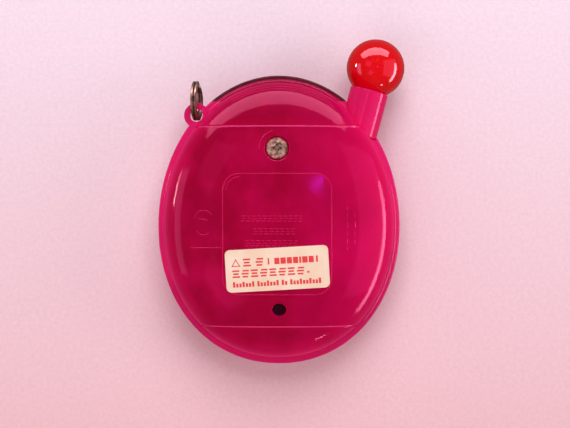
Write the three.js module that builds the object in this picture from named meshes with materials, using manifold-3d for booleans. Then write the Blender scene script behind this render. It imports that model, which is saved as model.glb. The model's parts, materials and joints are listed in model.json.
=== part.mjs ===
// A pocket virtual pet on a key ring: an egg-shaped translucent case with a screen and three buttons on
// its front, a battery door on its back, a ball-tipped antenna and a small split ring.
// Millimetres. The toy lies on its face: +Z points out of its back and +Y towards its top.
import * as THREE from "three";
import { mergeVertices } from "three/addons/utils/BufferGeometryUtils.js";
import Module from "manifold-3d";

const wasm = await Module();
wasm.setup();

// ---- Driving dimensions ----
const HALF_WIDTH = 24.15; // the egg's widest half, at y = 0
const TOP_REACH = 29.9; // from the widest line up to the egg's top
const BOTTOM_REACH = 27.7; // and down to its bottom
const BOTTOM_POWER = 2.1; // the lower half is a little squarer than an ellipse
const EGG_SIDES = 48;

const FRONT_EDGE_Z = 9.0; // where the front dome meets the straight rim
const FRONT_RISE = 8.3;
const RIM_TOP_Z = 11.0; // parting plane
const DECK_BOTTOM_Z = 11.1;
const DECK_TOP_Z = 12.2;
const BACK_EDGE_Z = 12.4; // where the battery door's side walls start
const BACK_RISE = 7.6;
const BACK_SCALE = 0.95; // the back is this much smaller than the rim
const WALL = 1.5;
const GAP = 0.15; // running gap between neighbours

const DOOR_TOP_Y = 19.5;
const DOOR_BOTTOM_Y = -20.0;
const SCREW = { x: -0.36, y: 15.1 };
const RESET = { x: 0.06, y: -16.7 };
const WELL = { x: -0.34, y: -1.74, w: 20.9, d: 23.3, corner: 3.0, floor: 9.3 };
const CELL = { x: -0.34, y: -2.9, radius: 10.0, z0: 10.75, thick: 3.2 };
const STICKER = { x: -0.3, y: -8.5, w: 20.2, d: 8.3, corner: 1.0, turn: THREE.MathUtils.degToRad(3.2) };

const SCREEN = { x: 0, y: 3, w: 31.5, d: 27.5 };
const BOARD_Z = 6.9;
const BOARD_TOP_Z = 7.9;
const BUTTONS = [
  { name: "left", x: -9.0, y: -14.5 },
  { name: "middle", x: 0, y: -17.0 },
  { name: "right", x: 9.0, y: -14.5 },
];
const CASE_SCREWS = [
  [-16.6, 12.0],
  [16.6, 12.0],
  [-15.0, -13.4],
  [15.0, -13.4],
];
const BOARD_SCREWS = [
  [-10.2, 16.2],
  [10.2, 16.2],
  [0, -11.2],
];

const BALL = { x: 19.38, y: 31.46, z: 9.5, radius: 5.8 };
const ANTENNA_TURN = THREE.MathUtils.degToRad(-15); // leans right from +Y
const STUB_RADIUS = 3.85;
const STUB_TOP = 4.67; // below the ball's centre, along the antenna
const STUB_END = 14.0;

const LUG = { x: -16.55, y: 21.95, z: 9.2, hole: 1.3, radius: 2.5, thick: 2.4 };
const RING = { y: 24.95, mean: 3.45, wireRadial: 0.55, wireAxial: 0.65, turn: THREE.MathUtils.degToRad(-8) };

// ---- Geometry helpers ----
// A closed three.js geometry as a manifold solid.
function solid(geometry) {
  const bare = geometry.clone();
  bare.deleteAttribute("normal");
  bare.deleteAttribute("uv");
  const merged = mergeVertices(bare, 1e-4);
  const vertProperties = merged.attributes.position.array;
  return new wasm.Manifold(
    new wasm.Mesh({ numProp: 3, vertProperties, triVerts: new Uint32Array(merged.index.array) }),
  );
}

const joined = (first, ...rest) => rest.reduce((all, next) => all.add(next), first);
const without = (first, ...rest) => rest.reduce((all, next) => all.subtract(next), first);

// An upright rod between two heights.
function rod(x, y, radius, z0, z1, sides = 20) {
  const g = new THREE.CylinderGeometry(radius, radius, z1 - z0, sides);
  return solid(g.rotateX(Math.PI / 2).translate(x, y, (z0 + z1) / 2));
}

function box(x0, x1, y0, y1, z0, z1) {
  const g = new THREE.BoxGeometry(x1 - x0, y1 - y0, z1 - z0);
  return solid(g.translate((x0 + x1) / 2, (y0 + y1) / 2, (z0 + z1) / 2));
}

// An upright plate with round corners.
function plate({ x, y, w, d, corner, turn = 0 }, z0, z1) {
  const shape = new THREE.Shape();
  const a = w / 2 - corner;
  const b = d / 2 - corner;
  shape.absarc(a, b, corner, 0, Math.PI / 2);
  shape.absarc(-a, b, corner, Math.PI / 2, Math.PI);
  shape.absarc(-a, -b, corner, Math.PI, 1.5 * Math.PI);
  shape.absarc(a, -b, corner, 1.5 * Math.PI, 2 * Math.PI);
  const g = new THREE.ExtrudeGeometry(shape, { depth: z1 - z0, bevelEnabled: false, curveSegments: 4 });
  return solid(g.rotateZ(turn).translate(x, y, z0));
}

// The egg's outline as a point for an angle, for a scale of 1.
function eggPoint(angle) {
  const c = Math.cos(angle);
  const s = Math.sin(angle);
  const power = s < 0 ? 2 / BOTTOM_POWER : 1;
  const reach = s < 0 ? BOTTOM_REACH : TOP_REACH;
  return [HALF_WIDTH * Math.sign(c) * Math.abs(c) ** power, reach * Math.sign(s) * Math.abs(s) ** power];
}

// A lathed solid whose circles are stretched into the egg's outline. Profile: [scale, z] from the lowest
// point on the axis to the highest.
function eggSolid(profile, sides = EGG_SIDES) {
  const lathe = new THREE.LatheGeometry(
    profile.map(([s, z]) => new THREE.Vector2(s, z)),
    sides,
  );
  const p = lathe.attributes.position;
  for (let i = 0; i < p.count; i++) {
    const scale = Math.hypot(p.getX(i), p.getZ(i));
    const [ex, ey] = eggPoint(Math.atan2(p.getX(i), p.getZ(i)));
    p.setXYZ(i, ex * scale, ey * scale, p.getY(i));
  }
  return solid(lathe);
}

// Points of a flat-topped dome from its edge to its crown: [share of the radius, share of the rise].
function dome(power, steps) {
  const points = [];
  for (let i = 0; i <= steps; i++) {
    const a = ((1 - i / steps) * Math.PI) / 2;
    points.push([i === steps ? 0 : Math.sin(a) ** (2 / power), Math.cos(a)]);
  }
  return points;
}

// The solid under the back's outer surface, moved inwards by a wall and up by a lift.
function backDome(inset, lift, floorZ) {
  const edge = BACK_SCALE - inset / HALF_WIDTH;
  const rise = BACK_RISE - inset;
  const crown = dome(4, 6).map(([u, h]) => [edge * u, BACK_EDGE_Z + lift + rise * h]);
  return eggSolid([[0, floorZ], [edge, floorZ], ...crown]);
}

// The solid inside the front's outer surface, up to a height.
function frontDome(inset, topZ) {
  const edge = 1 - inset / HALF_WIDTH;
  const rise = FRONT_RISE - inset;
  const crown = dome(3, 5).map(([u, h]) => [edge * u, FRONT_EDGE_Z - rise * h]);
  return eggSolid([...crown.reverse(), [edge, topZ], [0, topZ]]);
}

const eggPlate = (scale, z0, z1) =>
  eggSolid([[0, z0], [scale, z0], [scale, z1], [0, z1]]);

// ---- Assembly ----
const toy = new THREE.Group();

function add(name, shape, [color, roughness, metalness, opacity = 1]) {
  const made = shape.getMesh();
  const geometry = new THREE.BufferGeometry();
  geometry.setAttribute("position", new THREE.BufferAttribute(made.vertProperties, 3));
  geometry.setIndex(new THREE.BufferAttribute(made.triVerts, 1));
  geometry.computeVertexNormals();
  const material = new THREE.MeshStandardMaterial({ color, roughness, metalness });
  material.opacity = opacity;
  material.transparent = opacity < 1;
  const mesh = new THREE.Mesh(geometry, material);
  mesh.name = name;
  toy.add(mesh);
}

// Finishes: [colour, roughness, metalness, opacity].
const PINK = [0xc8125a, 0.15, 0, 0.8];
const PINK_STUB = [0xe0427f, 0.25, 0];
const RED = [0xdd0510, 0.12, 0];
const SMOKE = [0x2a0d12, 0.1, 0, 0.8];
const PALE = [0xf2c7d6, 0.3, 0];
const CLEAR = [0xffffff, 0.05, 0, 0.3];
const LCD = [0xa9b39a, 0.15, 0];
const STEEL = [0xb3aa9d, 0.3, 1];
const AGED_STEEL = [0x8f8168, 0.35, 1];
const BRASS = [0xc39a4a, 0.3, 1];
const BOARD = [0x1d5a35, 0.45, 0];
const DARK = [0x17171a, 0.4, 0];
const RUBBER = [0x3a3a3d, 0.8, 0];
const WHITE = [0xe8e6df, 0.5, 0];
const PAPER = [0xf3e3c4, 0.55, 0];
const RED_WIRE = [0xb81414, 0.4, 0];

// ---- Antenna, made along +Y about the ball's centre and then leaned over ----
const leaned = (geometry) =>
  solid(geometry.rotateZ(ANTENNA_TURN).translate(BALL.x, BALL.y, BALL.z));

function antennaRod(radius, along0, along1, sides = 28) {
  const g = new THREE.CylinderGeometry(radius, radius, along1 - along0, sides);
  return leaned(g.translate(0, -(along0 + along1) / 2, 0));
}

const PEG_RADIUS = 1.5;
const PEG_END = 9.0;
const COLLAR_RADIUS = 4.3;
const COLLAR_THICK = 0.8;

function antennaBall() {
  const ball = leaned(new THREE.SphereGeometry(BALL.radius, 24, 12));
  return joined(ball, antennaRod(PEG_RADIUS, BALL.radius - 1, PEG_END, 16));
}

// A collar inside the case keeps the stub in; it is trimmed to the case's inside.
function antennaStub() {
  const room = frontDome(WALL + 0.3, RIM_TOP_Z - 0.1);
  const collar = antennaRod(COLLAR_RADIUS, STUB_END - 0.1, STUB_END + COLLAR_THICK).intersect(room);
  const seat = leaned(new THREE.SphereGeometry(BALL.radius + 0.1, 24, 12));
  const bore = antennaRod(PEG_RADIUS + 0.1, 0, PEG_END + 0.3, 16);
  const body = antennaRod(STUB_RADIUS, STUB_TOP, STUB_END);
  return joined(body, collar).subtract(seat).subtract(bore);
}

const stubHole = antennaRod(STUB_RADIUS + GAP, STUB_TOP, STUB_END + GAP);
const collarRoom = antennaRod(COLLAR_RADIUS + 0.3, STUB_END - 0.4, STUB_END + COLLAR_THICK + 0.3);

// ---- Front shell ----
const POST_RADIUS = 2.2;
const BUTTON_RADIUS = 2.6;
const FLANGE = { radius: 3.2, z0: 3.6, z1: 4.5 };
const WINDOW_ENDS_Y = 24.7; // the infra-red window's ends
const WINDOW_FLOOR_Z = 6.0;

function windowCut(grow) {
  return box(-20, 20, WINDOW_ENDS_Y - grow, TOP_REACH + 5, WINDOW_FLOOR_Z - grow, RIM_TOP_Z + 5);
}

function frontShell() {
  let shell = frontDome(0, RIM_TOP_Z).subtract(frontDome(WALL, RIM_TOP_Z + 1));
  const screenPad = plate({ ...SCREEN, w: SCREEN.w + 2, d: SCREEN.d + 2, corner: 9.5 }, 1.9, 3.6);
  const buttonPads = BUTTONS.map(({ x, y }) => rod(x, y, 4.0, 2, FLANGE.z0 + 0.25, 18));
  shell = joined(shell, joined(screenPad, ...buttonPads).intersect(frontDome(0.3, RIM_TOP_Z)));
  for (const [x, y] of CASE_SCREWS) {
    shell = shell.add(rod(x, y, POST_RADIUS, 3, RIM_TOP_Z - 0.1, 12).intersect(frontDome(0.5, RIM_TOP_Z)));
  }
  for (const [x, y] of BOARD_SCREWS) {
    shell = shell.add(rod(x, y, 1.8, 2.6, BOARD_Z - 0.1, 12).intersect(frontDome(0.5, RIM_TOP_Z)));
  }
  const lug = rod(LUG.x, LUG.y, LUG.radius, LUG.z - LUG.thick / 2, LUG.z + LUG.thick / 2, 18);
  const cavity = frontDome(WALL, RIM_TOP_Z + 1);
  shell = shell.add(lug.subtract(cavity));
  const cuts = [
    plate({ ...SCREEN, w: SCREEN.w + 0.4, d: SCREEN.d + 0.4, corner: 9.1 }, -1, 2.2),
    plate({ ...SCREEN, w: 22, d: 16, corner: 2 }, 1, 4),
    plate({ ...SCREEN, w: 26.8, d: 21.4, corner: 1.2 }, 3.3, 7),
    rod(LUG.x, LUG.y, LUG.hole, 0, RIM_TOP_Z + 1, 20),
    windowCut(0).intersect(frontDome(-1, RIM_TOP_Z + 2)),
    stubHole,
    ...BUTTONS.map(({ x, y }) => rod(x, y, BUTTON_RADIUS + GAP, -1, 5, 18)),
    ...BUTTONS.map(({ x, y }) => rod(x, y, FLANGE.radius + 0.25, FLANGE.z0 - 0.1, 7, 18)),
    ...CASE_SCREWS.map(([x, y]) => rod(x, y, 0.95, 5, RIM_TOP_Z + 1, 10)),
    ...BOARD_SCREWS.map(([x, y]) => rod(x, y, 0.75, 4.2, BOARD_Z + 1, 10)),
  ];
  return without(shell, ...cuts);
}

// ---- Back shell: a deck with the battery well, and the two end caps that the door fits between ----
const NUT = { half: 2.0, z0: 10.3, z1: 11.9 };
const SPIGOT_Z = 10.0;
const WIRE_HOLE_PLUS = { x: 5.5, y: 12.9 };
const WIRE_HOLE_MINUS = { x: -9.0, y: -12.0 };

function backShell() {
  const skin = backDome(0, 0, DECK_TOP_Z - 0.2).subtract(backDome(WALL, 0, DECK_TOP_Z - 1));
  const farY = TOP_REACH + 5;
  const capWalls = backDome(0.4, 0, DECK_TOP_Z - 0.2);
  const topCap = joined(
    skin.intersect(box(-30, 30, DOOR_TOP_Y, farY, 0, 30)),
    capWalls.intersect(box(-30, 30, DOOR_TOP_Y, DOOR_TOP_Y + 1.2, 0, 30)),
  );
  const bottomCap = joined(
    skin.intersect(box(-30, 30, -farY, DOOR_BOTTOM_Y, 0, 30)),
    capWalls.intersect(box(-30, 30, DOOR_BOTTOM_Y - 1.2, DOOR_BOTTOM_Y, 0, 30)),
  );
  const spigot = eggPlate(0.92, SPIGOT_Z, DECK_BOTTOM_Z + 0.1).subtract(
    eggPlate(0.87, SPIGOT_Z - 1, DECK_BOTTOM_Z + 1),
  );
  const wellOuter = plate({ ...WELL, w: WELL.w + 2, d: WELL.d + 2, corner: 4 }, WELL.floor, DECK_TOP_Z - 0.1);
  const wellInner = plate(WELL, WELL.floor + 0.8, DECK_TOP_Z + 1);
  const nutBoss = rod(SCREW.x, SCREW.y, 3.6, 9.4, DECK_TOP_Z + 0.3, 20);
  const resetTube = rod(RESET.x, RESET.y, 2.4, 9.6, 17.2, 20);
  const deck = eggPlate(BACK_SCALE, DECK_BOTTOM_Z, DECK_TOP_Z);
  const sideRib = box(-17.2, -11.5, -4.6, -4.2, DECK_TOP_Z - 0.1, 14.6);
  const whole = joined(deck, topCap, bottomCap, spigot, wellOuter, sideRib);
  const nutPocket = box(
    SCREW.x - NUT.half - GAP, SCREW.x + NUT.half + GAP,
    SCREW.y - NUT.half - GAP, SCREW.y + NUT.half + GAP,
    9, NUT.z1 + GAP,
  );
  return without(
    joined(whole, nutBoss, resetTube),
    wellInner,
    nutPocket,
    rod(SCREW.x, SCREW.y, 1.25, 9, 14, 16),
    rod(RESET.x, RESET.y, 1.48, 9, 18, 20),
    stubHole,
    rod(LUG.x, LUG.y, LUG.hole, 5, RIM_TOP_Z + 1.5, 20),
    spigotGaps(),
    ...CASE_SCREWS.map(([x, y]) => rod(x, y, 1.15, 9, 14, 10)),
    rod(WIRE_HOLE_PLUS.x, WIRE_HOLE_PLUS.y, 1.0, 9, 14, 12),
    rod(WIRE_HOLE_MINUS.x, WIRE_HOLE_MINUS.y, 0.8, 9, 14, 12),
    box(-6, 6, -23.6, -21.4, 9, DECK_TOP_Z + 0.5),
    box(-7, 7, 21.6, 23.8, 9, DECK_TOP_Z + 0.5),
  );
}

// The spigot stops short of the window, the screw posts and the antenna's collar.
function spigotGaps() {
  const z1 = DECK_BOTTOM_Z - 0.01;
  const posts = CASE_SCREWS.map(([x, y]) => rod(x, y, POST_RADIUS + 0.3, SPIGOT_Z - 1, z1, 14));
  return joined(box(-16, 13, 22, 32, SPIGOT_Z - 1, z1), box(9, 22, 13, 30, SPIGOT_Z - 1, z1), ...posts);
}

// ---- Battery door ----
const HEAD = { radius: 2.2, z0: 17.3, z1: 18.9 };
const DOOR_RIB = { ...WELL, w: 21.3, d: 23.7, corner: 3.2 };

function batteryDoor() {
  const between = box(-30, 30, DOOR_BOTTOM_Y + GAP, DOOR_TOP_Y - GAP, 0, 30);
  const skin = backDome(0, 0, BACK_EDGE_Z).subtract(backDome(WALL, 0, BACK_EDGE_Z - 1)).intersect(between);
  const under = backDome(0.4, 0, BACK_EDGE_Z);
  const rib = plate(DOOR_RIB, 14.4, 20).subtract(plate({ ...DOOR_RIB, w: 19.5, d: 21.9, corner: 2.3 }, 14, 21));
  const boss = rod(SCREW.x, SCREW.y, 4.0, 15.9, 20, 28);
  const inside = joined(rib, boss).intersect(under);
  return without(
    joined(skin, inside),
    rod(SCREW.x, SCREW.y, 2.5, HEAD.z0 - 0.05, 21, 28),
    rod(SCREW.x, SCREW.y, 1.3, 15, 21, 16),
    rod(RESET.x, RESET.y, 1.48, 14, 21, 24),
    antennaRod(STUB_RADIUS + 0.3, STUB_TOP, STUB_END + 0.3),
  );
}

// The sticker is a skin that follows the door's surface.
function backSticker() {
  const layer = backDome(0, 0.16, BACK_EDGE_Z).subtract(backDome(0, 0.04, BACK_EDGE_Z - 1));
  return plate(STICKER, 17, 21).intersect(layer);
}

// ---- Fasteners ----
function crossScrew(x, y, headRadius, shankRadius, tipZ, headZ, headThick, sides = 16) {
  const head = rod(x, y, headRadius, headZ, headZ + headThick, sides);
  const shank = rod(x, y, shankRadius, tipZ, headZ + 0.1, 10);
  const slot = 0.35;
  const reach = headRadius * 0.62;
  const top = headZ + headThick;
  const cross = joined(
    box(x - reach, x + reach, y - slot, y + slot, top - headThick * 0.55, top + 1),
    box(x - slot, x + slot, y - reach, y + reach, top - headThick * 0.55, top + 1),
  );
  return joined(head, shank).subtract(cross);
}

// ---- Screen stack ----
function screenBezel() {
  return plate({ ...SCREEN, corner: 8.9 }, 0, 2.1).subtract(plate({ ...SCREEN, w: 25, d: 20, corner: 4 }, -1, 3));
}

function lcdFrame() {
  const outer = plate({ ...SCREEN, w: 26.4, d: 21, corner: 1 }, 3.4, 6.75);
  return outer.subtract(plate({ ...SCREEN, w: 24.3, d: 19.3, corner: 0.5 }, 3, 7));
}

// ---- Buttons ----
function buttonCap({ x, y }) {
  return joined(
    rod(x, y, BUTTON_RADIUS, 0.9, FLANGE.z0 + 0.1, 18),
    rod(x, y, FLANGE.radius, FLANGE.z0, FLANGE.z1, 18),
  );
}

function rubberDome({ x, y }) {
  const profile = [[0, 4.7], [1.6, 4.7], [1.9, 5.2], [3.0, 6.2], [3.0, 6.8], [0, 6.8]];
  const g = new THREE.LatheGeometry(profile.map(([r, z]) => new THREE.Vector2(r, z)), 12);
  return solid(g.rotateX(Math.PI / 2).translate(x, y, 0));
}

// ---- Wires ----
function wire(points, radius) {
  const path = new THREE.CatmullRomCurve3(points.map((p) => new THREE.Vector3(...p)));
  const section = new THREE.Shape().absarc(0, 0, radius, 0, 2 * Math.PI);
  return solid(new THREE.ExtrudeGeometry(section, { steps: 12, curveSegments: 4, extrudePath: path }));
}

// ---- The parts ----
add("front_shell", frontShell(), PINK);
add("back_shell", backShell(), PINK);
add("battery_door", batteryDoor(), PINK);
add("back_sticker", backSticker(), PAPER);

const irWindow = frontDome(0, RIM_TOP_Z)
  .subtract(frontDome(WALL, RIM_TOP_Z + 1))
  .intersect(windowCut(-GAP))
  .subtract(antennaRod(STUB_RADIUS + 0.3, STUB_TOP, STUB_END));
add("ir_window", irWindow, SMOKE);

add("antenna_stub", antennaStub(), PINK_STUB);
add("antenna_ball", antennaBall(), RED);

const torus = new THREE.TorusGeometry(RING.mean, RING.wireRadial, 8, 24);
torus.scale(1, 1, RING.wireAxial / RING.wireRadial).rotateY(Math.PI / 2 + RING.turn);
add("key_ring", solid(torus.translate(LUG.x, RING.y, LUG.z)), AGED_STEEL);

// Door screw, its captive retainer and its nut.
add("door_screw", crossScrew(SCREW.x, SCREW.y, HEAD.radius, 1.0, 9.9, HEAD.z0, HEAD.z1 - HEAD.z0, 24), AGED_STEEL);
const retainer = rod(SCREW.x, SCREW.y, 2.1, 12.75, 13.25, 18).subtract(rod(SCREW.x, SCREW.y, 1.1, 12, 14, 12));
add("screw_retainer", retainer, WHITE);
const nut = box(
  SCREW.x - NUT.half, SCREW.x + NUT.half, SCREW.y - NUT.half, SCREW.y + NUT.half, NUT.z0, NUT.z1,
).subtract(rod(SCREW.x, SCREW.y, 1.15, 9, 13, 12));
add("door_nut", nut, BRASS);

CASE_SCREWS.forEach(([x, y], i) => {
  add(`case_screw_${i + 1}`, crossScrew(x, y, 1.8, 0.8, 5.6, DECK_TOP_Z + 0.05, 1.3, 12), STEEL);
});
BOARD_SCREWS.forEach(([x, y], i) => {
  add(`board_screw_${i + 1}`, crossScrew(x, y, 1.5, 0.65, 4.6, BOARD_TOP_Z + 0.05, 1.1, 12), STEEL);
});

// Screen stack.
add("screen_bezel", screenBezel(), PALE);
add("screen_lens", plate({ ...SCREEN, w: 24.7, d: 19.7, corner: 3.85 }, 0.7, 1.8), CLEAR);
const mask = plate({ ...SCREEN, w: 24.7, d: 19.7, corner: 3.85 }, 1.85, 2.1);
add("screen_mask", mask.subtract(plate({ ...SCREEN, w: 21, d: 14, corner: 1 }, 1, 3)), PALE);
add("lcd_panel", plate({ ...SCREEN, w: 24, d: 19, corner: 0.3 }, 3.4, 5.0), LCD);
add("lcd_frame", lcdFrame(), WHITE);
for (const [side, y] of [["top", SCREEN.y + 8.5], ["bottom", SCREEN.y - 8.5]]) {
  add(`zebra_strip_${side}`, box(-11.5, 11.5, y - 0.8, y + 0.8, 5.05, 6.85), RUBBER);
}

// Main board and what is on it.
const board = without(
  plate({ x: 0, y: 0.25, w: 26.6, d: 39.5, corner: 5 }, BOARD_Z, BOARD_TOP_Z),
  ...BOARD_SCREWS.map(([x, y]) => rod(x, y, 0.9, 6, 9, 12)),
  ...CASE_SCREWS.map(([x, y]) => rod(x, y, POST_RADIUS + 0.3, 6, 9, 14)),
  collarRoom,
);
add("main_board", board, BOARD);
const blob = new THREE.SphereGeometry(4.2, 16, 8, 0, 2 * Math.PI, 0, Math.PI).scale(1, 1, 0.15);
add("chip_blob", solid(blob.translate(0, 2, 0)).intersect(box(-6, 6, -6, 8, 0, 3))
  .translate([0, 0, BOARD_TOP_Z]), DARK);
const crystal = new THREE.CylinderGeometry(1.0, 1.0, 6, 12).rotateZ(Math.PI / 2);
add("crystal", solid(crystal.translate(7.5, -16.8, BOARD_TOP_Z + 1.05)), STEEL);
const capacitor = new THREE.CylinderGeometry(1.4, 1.4, 5, 14).rotateZ(Math.PI / 2);
add("capacitor", solid(capacitor.translate(-8, -16.8, BOARD_TOP_Z + 1.45)), DARK);
add("reset_switch", box(RESET.x - 1.6, RESET.x + 1.6, RESET.y - 1.6, RESET.y + 1.6, BOARD_TOP_Z, 8.6), STEEL);
const plunger = joined(rod(RESET.x, RESET.y, 1.9, 8.9, 9.3, 16), rod(RESET.x, RESET.y, 0.8, 9.2, 10.6, 14));
add("reset_plunger", plunger, DARK);
[["ir_emitter", -3.5, CLEAR], ["ir_receiver", 3.5, DARK]].forEach(([name, x, finish]) => {
  const z = 9.5;
  const body = new THREE.CylinderGeometry(1.5, 1.5, 3.6, 14).translate(x, 23.6, z);
  const tip = new THREE.SphereGeometry(1.5, 14, 8).translate(x, 25.4, z);
  const legs = [-0.9, 0.9].map((dx) => box(x + dx - 0.25, x + dx + 0.25, 18.9, 22.2, BOARD_TOP_Z, 8.5));
  add(name, joined(solid(body), solid(tip), ...legs, box(x - 1.2, x + 1.2, 21.85, 22.3, 8, 9)), finish);
});

// Sound disc, under the floor of the battery well.
add("buzzer_disc", rod(0, 0, 8, 8.8, 9.2, 28), BRASS);

// Cell and contacts.
const cell = joined(
  rod(CELL.x, CELL.y, CELL.radius, CELL.z0 + 0.4, CELL.z0 + CELL.thick, 40),
  rod(CELL.x, CELL.y, CELL.radius - 1.2, CELL.z0, CELL.z0 + 0.5, 40),
);
add("coin_cell", cell, STEEL);
add("contact_plus", joined(
  box(-3.3, 2.7, 7.4, 7.7, 10.3, 13.7),
  box(-3.3, 2.7, 7.4, 11.2, 13.4, 13.7),
  box(-3.3, 2.7, 10.9, 11.2, DECK_TOP_Z + 0.1, 13.7),
), STEEL);
add("contact_minus", joined(
  box(-8, 3, -6.5, -1.5, 10.2, 10.45),
  box(-8.3, -6.5, -11.8, -1.5, 10.2, 10.45),
  ...[-5, 0].map((x) => rod(x, -4, 0.9, 10.3, 10.68, 12)),
), STEEL);
const plusRun = [[2.2, 11.75, 12.8], [4.5, 12.3, 13.0], [5.5, 12.9, 11.8], [5.6, 13.1, 10.2], [6.0, 13.7, 8.4]];
const minusRun = [[-7.4, -12.4, 10.6], [-8.5, -12.4, 10.6], [-9.0, -12.0, 9.6], [-9.0, -11.9, 8.3]];
add("wire_plus", wire(plusRun, 0.45), RED_WIRE);
add("wire_minus", wire(minusRun, 0.35), DARK);

// Buttons with their rubber domes.
BUTTONS.forEach((b) => {
  add(`button_${b.name}`, buttonCap(b), RED);
  add(`rubber_dome_${b.name}`, rubberDome(b), RUBBER);
});

// The origin is under the middle of the whole toy's box, on the plane it lies on.
toy.position.set(
  (HALF_WIDTH - (BALL.x + BALL.radius)) / 2,
  (BOTTOM_REACH - (BALL.y + BALL.radius)) / 2,
  0,
);

export default toy;
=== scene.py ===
"""Looks for a pocket virtual pet on a key ring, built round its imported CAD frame.

Shapes are in millimetres until they become meshes.
"""

import json
import math

import bmesh
import bpy
from mathutils import Matrix, Vector


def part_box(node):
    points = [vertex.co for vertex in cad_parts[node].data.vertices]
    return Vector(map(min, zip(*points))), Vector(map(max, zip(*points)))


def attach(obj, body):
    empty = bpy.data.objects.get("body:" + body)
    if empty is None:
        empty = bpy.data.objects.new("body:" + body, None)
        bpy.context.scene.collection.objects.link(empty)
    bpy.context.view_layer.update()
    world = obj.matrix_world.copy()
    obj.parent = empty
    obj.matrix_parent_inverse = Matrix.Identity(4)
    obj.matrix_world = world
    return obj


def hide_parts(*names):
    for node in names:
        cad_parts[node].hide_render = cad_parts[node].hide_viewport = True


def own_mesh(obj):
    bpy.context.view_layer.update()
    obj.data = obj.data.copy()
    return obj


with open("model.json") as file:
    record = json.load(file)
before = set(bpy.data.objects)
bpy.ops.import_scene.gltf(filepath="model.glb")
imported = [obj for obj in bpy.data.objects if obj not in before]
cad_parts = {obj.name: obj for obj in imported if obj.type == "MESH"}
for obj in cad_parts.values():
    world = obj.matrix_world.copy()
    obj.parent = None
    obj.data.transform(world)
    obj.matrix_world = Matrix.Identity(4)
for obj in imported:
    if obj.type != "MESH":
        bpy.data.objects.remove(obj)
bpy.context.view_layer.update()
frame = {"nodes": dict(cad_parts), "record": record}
bpy.context.scene.view_settings.view_transform = "Standard"

# ---- Sizes, in millimetres, about the egg's widest line ----
MM = 0.001
HALF_WIDTH, TOP_REACH, BOTTOM_REACH = 24.15, 29.9, 27.7
BOTTOM_POWER = 2.1
FRONT_EDGE_Z, FRONT_RISE, RIM_TOP_Z = 9.0, 8.3, 11.0
DECK_FOOT_Z, DECK_TOP_Z = RIM_TOP_Z + 0.01, 12.2
BACK_EDGE_Z, BACK_RISE = 12.4, 7.6
BACK_SCALE = 0.95
COLLAR_SCALE, COLLAR_RISE = 0.977, 0.5  # the soft step from the rim up to the back
LIP_SCALE = 0.9507  # that step's inner edge, just clear of the back
WALL = 1.5
GAP = 0.15  # round the stub, where it passes through the shells
DOOR_TOP_Y, DOOR_BOTTOM_Y = 19.5, -20.0
SCREW = Vector((-0.36, 15.1))
RESET = Vector((0.06, -16.7))
WELL = dict(x=-0.34, y=-1.74, w=20.9, d=23.3, corner=3.0)
RIB = dict(WELL, w=21.3, d=23.7, corner=3.2)  # round the well, under the door
CASE_SCREWS = ((-16.6, 12), (16.6, 12), (-15, -13.4), (15, -13.4))
SCREEN = dict(x=0.0, y=3.0)
WINDOW_ENDS_Y = 24.7  # the infra-red window's ends
DOME_TOP_Z, DOME_FOOT_Z = 4.7, 6.8  # the rubber domes, from under a button to the board
BUTTONS = {"left": (-9.0, -14.5), "middle": (0.0, -17.0), "right": (9.0, -14.5)}
STICKER = dict(x=-0.3, y=-8.5, w=20.2, d=8.3, corner=1.0, turn=math.radians(3.2))
BALL = Vector((19.38, 31.46, 9.5))
BALL_RADIUS = 5.8
ANTENNA_TURN = math.radians(-15)
STUB_RADIUS, STUB_TOP, STUB_END = 3.85, 4.67, 14.0  # its ends are measured from the ball's centre
# From the antenna's own axis, +Z down the stub from the ball's centre, to where it leans.
LEAN = Matrix.Translation(BALL) @ Matrix.Rotation(ANTENNA_TURN, 4, "Z") @ Matrix.Rotation(math.pi / 2, 4, "X")
LUG = Vector((-16.55, 21.95, 9.2))
RING_Y, RING_TURN = 24.95, math.radians(-8)

EYE = Vector((1.2, 2.2, 361.0))  # the camera, looking straight down
VIEW_WIDTH = 114.0  # what the frame takes in on the rim's plane

shell_low, shell_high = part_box("front_shell")
ORIGIN = Vector(((shell_low.x + shell_high.x) / 2, shell_low.y + BOTTOM_REACH * MM, 0))


# ---- Shape helpers ----
def egg_point(angle, scale=1.0):
    c, s = math.cos(angle), math.sin(angle)
    power = 2 / BOTTOM_POWER if s < 0 else 1
    reach = BOTTOM_REACH if s < 0 else TOP_REACH
    x = HALF_WIDTH * math.copysign(abs(c) ** power, c)
    y = reach * math.copysign(abs(s) ** power, s)
    return x * scale, y * scale


def egg_scale(x, y):
    """How far out a point is, as a share of the outline."""
    p, reach = (BOTTOM_POWER, BOTTOM_REACH) if y < 0 else (2, TOP_REACH)
    return (abs(x / HALF_WIDTH) ** p + abs(y / reach) ** p) ** (1 / p)


def half_chord(y, scale):
    """Half the egg's width at a height, for a scale."""
    p, reach = (BOTTOM_POWER, BOTTOM_REACH) if y < 0 else (2, TOP_REACH)
    return HALF_WIDTH * max(0.0, scale**p - abs(y / reach) ** p) ** (1 / p)


def back_z(x, y, inset=0.0):
    u = min(1.0, egg_scale(x, y) / (BACK_SCALE - inset / HALF_WIDTH))
    return BACK_EDGE_Z + (BACK_RISE - inset) * math.sqrt(1 - u**4)


def back_normal(x, y):
    e = 0.02
    rise_x = back_z(x + e, y) - back_z(x - e, y)
    rise_y = back_z(x, y + e) - back_z(x, y - e)
    return Vector((-rise_x, -rise_y, 2 * e)).normalized()


def mesh_object(name, verts, faces, smooth_angle=32):
    mesh = bpy.data.meshes.new(name)
    mesh.from_pydata([ORIGIN + Vector(v) * MM for v in verts], [], faces)
    mesh.validate()
    obj = bpy.data.objects.new(name, mesh)
    bpy.context.scene.collection.objects.link(obj)
    soften(obj, smooth_angle)
    return obj


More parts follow.
